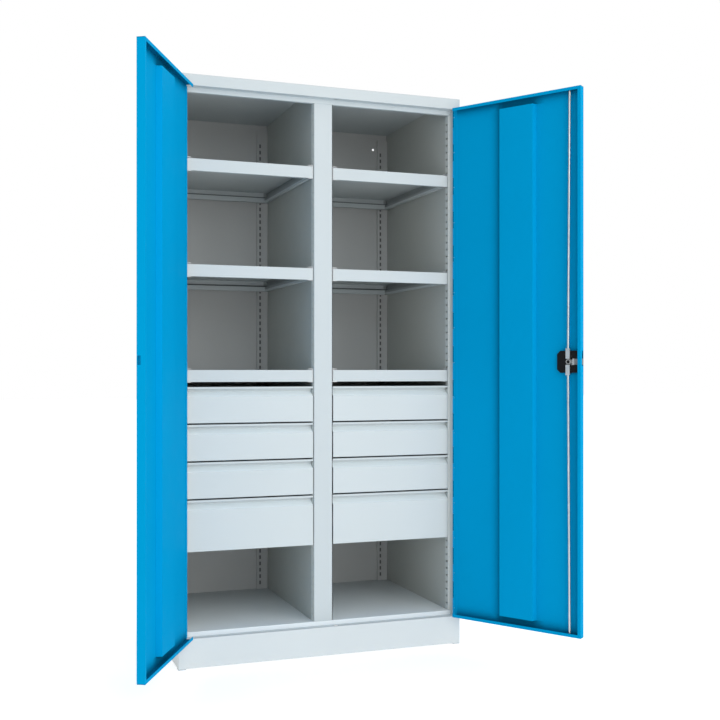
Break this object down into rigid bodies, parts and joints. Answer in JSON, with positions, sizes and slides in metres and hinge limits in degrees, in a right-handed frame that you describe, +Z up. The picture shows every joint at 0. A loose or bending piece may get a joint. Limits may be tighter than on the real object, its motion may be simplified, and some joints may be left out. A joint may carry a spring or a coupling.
{
  "type": "heavy-duty storage cabinet",
  "caption": "Tall steel storage cabinet with hinged double doors, adjustable shelves, pull-out drawers and a rod lock turned by an outside handle.",
  "frame": {"origin": "centre of the case's footprint, on the floor that the foot pads stand on", "axes": "+X to the right as seen from the front, -Y out of the front, +Z up"},
  "size_m": [1.4718, 1.0371, 1.95],
  "materials": {
    "case_paint": "fine-textured satin powder coat, light grey",
    "shelf_paint": "satin powder coat, light grey",
    "drawer_paint": "satin powder coat, light grey",
    "door_paint": "satin powder coat, light blue",
    "zinc_plate": "zinc plated",
    "bare_steel": "drawn wire",
    "rod_steel": "bright zinc plated",
    "lock_black": "matte black",
    "lock_grey": "cast zinc",
    "handle_black": "satin black",
    "key_chrome": "polished",
    "foot_plastic": "matte pale grey"
  },
  "bodies": {
    "cabinet": {"plinth": "case_paint", "foot_pads": "foot_plastic", "left_side_panel": "case_paint", "right_side_panel": "case_paint", "top_panel": "case_paint", "floor_panel": "case_paint", "back_panel": "case_paint", "inner_walls": "case_paint", "partition": "case_paint", "centre_post": "case_paint", "front_uprights": "case_paint", "rear_uprights": "case_paint", "left_shelf_1": "shelf_paint", "left_shelf_2": "shelf_paint", "left_shelf_3": "shelf_paint", "right_shelf_1": "shelf_paint", "right_shelf_2": "shelf_paint", "right_shelf_3": "shelf_paint", "shelf_clips": "zinc_plate", "fixed_drawer_runners": "zinc_plate", "frame_hinge_leaves": "door_paint", "hinge_pins": "bare_steel"},
    "left_door": {"left_door_panel": "door_paint", "left_door_stiffener": "door_paint", "left_door_hinge_leaf": "door_paint"},
    "right_door": {"right_door_panel": "door_paint", "right_door_stiffener": "door_paint", "right_door_hinge_leaf": "door_paint", "lock_case": "lock_black", "handle_base": "handle_black"},
    "handle": {"door_handle": "handle_black", "lock_pinion": "lock_grey"},
    "key_cylinder": {"key_cylinder": "key_chrome"},
    "upper_rod": {"upper_rod": "rod_steel"},
    "lower_rod": {"lower_rod": "rod_steel"},
    "side_bolt": {"side_bolt": "rod_steel"},
    "left_drawer_1": {"left_drawer_1_front": "drawer_paint", "left_drawer_1_tray": "drawer_paint"},
    "left_drawer_1_middle_runners": {"left_drawer_1_middle_runners": "zinc_plate"},
    "left_drawer_2": {"left_drawer_2_front": "drawer_paint", "left_drawer_2_tray": "drawer_paint"},
    "left_drawer_2_middle_runners": {"left_drawer_2_middle_runners": "zinc_plate"},
    "left_drawer_3": {"left_drawer_3_front": "drawer_paint", "left_drawer_3_tray": "drawer_paint"},
    "left_drawer_3_middle_runners": {"left_drawer_3_middle_runners": "zinc_plate"},
    "left_drawer_4": {"left_drawer_4_front": "drawer_paint", "left_drawer_4_tray": "drawer_paint"},
    "left_drawer_4_middle_runners": {"left_drawer_4_middle_runners": "zinc_plate"},
    "right_drawer_1": {"right_drawer_1_front": "drawer_paint", "right_drawer_1_tray": "drawer_paint"},
    "right_drawer_1_middle_runners": {"right_drawer_1_middle_runners": "zinc_plate"},
    "right_drawer_2": {"right_drawer_2_front": "drawer_paint", "right_drawer_2_tray": "drawer_paint"},
    "right_drawer_2_middle_runners": {"right_drawer_2_middle_runners": "zinc_plate"},
    "right_drawer_3": {"right_drawer_3_front": "drawer_paint", "right_drawer_3_tray": "drawer_paint"},
    "right_drawer_3_middle_runners": {"right_drawer_3_middle_runners": "zinc_plate"},
    "right_drawer_4": {"right_drawer_4_front": "drawer_paint", "right_drawer_4_tray": "drawer_paint"},
    "right_drawer_4_middle_runners": {"right_drawer_4_middle_runners": "zinc_plate"}
  },
  "joints": [
    {"name": "left_door_hinge", "type": "hinge", "parent": "cabinet", "child": "left_door", "pos_m": [-0.484, -0.3008, 1], "axis": [0, 0, -1], "range_deg": [-118.5, 51.5]},
    {"name": "right_door_hinge", "type": "hinge", "parent": "cabinet", "child": "right_door", "pos_m": [0.484, -0.3008, 1], "axis": [0, 0, 1], "range_deg": [-124, 46]},
    {"name": "lock_handle_turn", "type": "hinge", "parent": "right_door", "child": "handle", "pos_m": [0.72836, -0.66308, 1.007], "axis": [0.829, 0.5592, 0], "range_deg": [-90, 0]},
    {"name": "key_cylinder_turn", "type": "hinge", "parent": "handle", "child": "key_cylinder", "pos_m": [0.72836, -0.66308, 1.007], "axis": [0.829, 0.5592, 0], "range_deg": [0, 90]},
    {"name": "upper_rod_slide", "type": "slide", "parent": "right_door", "child": "upper_rod", "axis": [0, 0, 1], "range_m": [0, 0.01571]},
    {"name": "lower_rod_slide", "type": "slide", "parent": "right_door", "child": "lower_rod", "axis": [0, 0, -1], "range_m": [0, 0.01571]},
    {"name": "side_bolt_slide", "type": "slide", "parent": "right_door", "child": "side_bolt", "axis": [0.5592, -0.829, 0], "range_m": [0, 0.01571]},
    {"name": "left_drawer_1_slide", "type": "slide", "parent": "cabinet", "child": "left_drawer_1", "axis": [0, -1, 0], "range_m": [0, 0.45]},
    {"name": "left_drawer_1_middle_slide", "type": "slide", "parent": "cabinet", "child": "left_drawer_1_middle_runners", "axis": [0, -1, 0], "range_m": [0, 0.225]},
    {"name": "left_drawer_2_slide", "type": "slide", "parent": "cabinet", "child": "left_drawer_2", "axis": [0, -1, 0], "range_m": [0, 0.45]},
    {"name": "left_drawer_2_middle_slide", "type": "slide", "parent": "cabinet", "child": "left_drawer_2_middle_runners", "axis": [0, -1, 0], "range_m": [0, 0.225]},
    {"name": "left_drawer_3_slide", "type": "slide", "parent": "cabinet", "child": "left_drawer_3", "axis": [0, -1, 0], "range_m": [0, 0.45]},
    {"name": "left_drawer_3_middle_slide", "type": "slide", "parent": "cabinet", "child": "left_drawer_3_middle_runners", "axis": [0, -1, 0], "range_m": [0, 0.225]},
    {"name": "left_drawer_4_slide", "type": "slide", "parent": "cabinet", "child": "left_drawer_4", "axis": [0, -1, 0], "range_m": [0, 0.45]},
    {"name": "left_drawer_4_middle_slide", "type": "slide", "parent": "cabinet", "child": "left_drawer_4_middle_runners", "axis": [0, -1, 0], "range_m": [0, 0.225]},
    {"name": "right_drawer_1_slide", "type": "slide", "parent": "cabinet", "child": "right_drawer_1", "axis": [0, -1, 0], "range_m": [0, 0.45]},
    {"name": "right_drawer_1_middle_slide", "type": "slide", "parent": "cabinet", "child": "right_drawer_1_middle_runners", "axis": [0, -1, 0], "range_m": [0, 0.225]},
    {"name": "right_drawer_2_slide", "type": "slide", "parent": "cabinet", "child": "right_drawer_2", "axis": [0, -1, 0], "range_m": [0, 0.45]},
    {"name": "right_drawer_2_middle_slide", "type": "slide", "parent": "cabinet", "child": "right_drawer_2_middle_runners", "axis": [0, -1, 0], "range_m": [0, 0.225]},
    {"name": "right_drawer_3_slide", "type": "slide", "parent": "cabinet", "child": "right_drawer_3", "axis": [0, -1, 0], "range_m": [0, 0.45]},
    {"name": "right_drawer_3_middle_slide", "type": "slide", "parent": "cabinet", "child": "right_drawer_3_middle_runners", "axis": [0, -1, 0], "range_m": [0, 0.225]},
    {"name": "right_drawer_4_slide", "type": "slide", "parent": "cabinet", "child": "right_drawer_4", "axis": [0, -1, 0], "range_m": [0, 0.45]},
    {"name": "right_drawer_4_middle_slide", "type": "slide", "parent": "cabinet", "child": "right_drawer_4_middle_runners", "axis": [0, -1, 0], "range_m": [0, 0.225]}
  ],
  "couplings": [
    {"joint": "upper_rod_slide", "follows": "lock_handle_turn", "m_per_rad": -0.01},
    {"joint": "lower_rod_slide", "follows": "lock_handle_turn", "m_per_rad": -0.01},
    {"joint": "side_bolt_slide", "follows": "lock_handle_turn", "m_per_rad": -0.01},
    {"joint": "left_drawer_1_middle_slide", "follows": "left_drawer_1_slide", "ratio": 0.5},
    {"joint": "left_drawer_2_middle_slide", "follows": "left_drawer_2_slide", "ratio": 0.5},
    {"joint": "left_drawer_3_middle_slide", "follows": "left_drawer_3_slide", "ratio": 0.5},
    {"joint": "left_drawer_4_middle_slide", "follows": "left_drawer_4_slide", "ratio": 0.5},
    {"joint": "right_drawer_1_middle_slide", "follows": "right_drawer_1_slide", "ratio": 0.5},
    {"joint": "right_drawer_2_middle_slide", "follows": "right_drawer_2_slide", "ratio": 0.5},
    {"joint": "right_drawer_3_middle_slide", "follows": "right_drawer_3_slide", "ratio": 0.5},
    {"joint": "right_drawer_4_middle_slide", "follows": "right_drawer_4_slide", "ratio": 0.5}
  ]
}
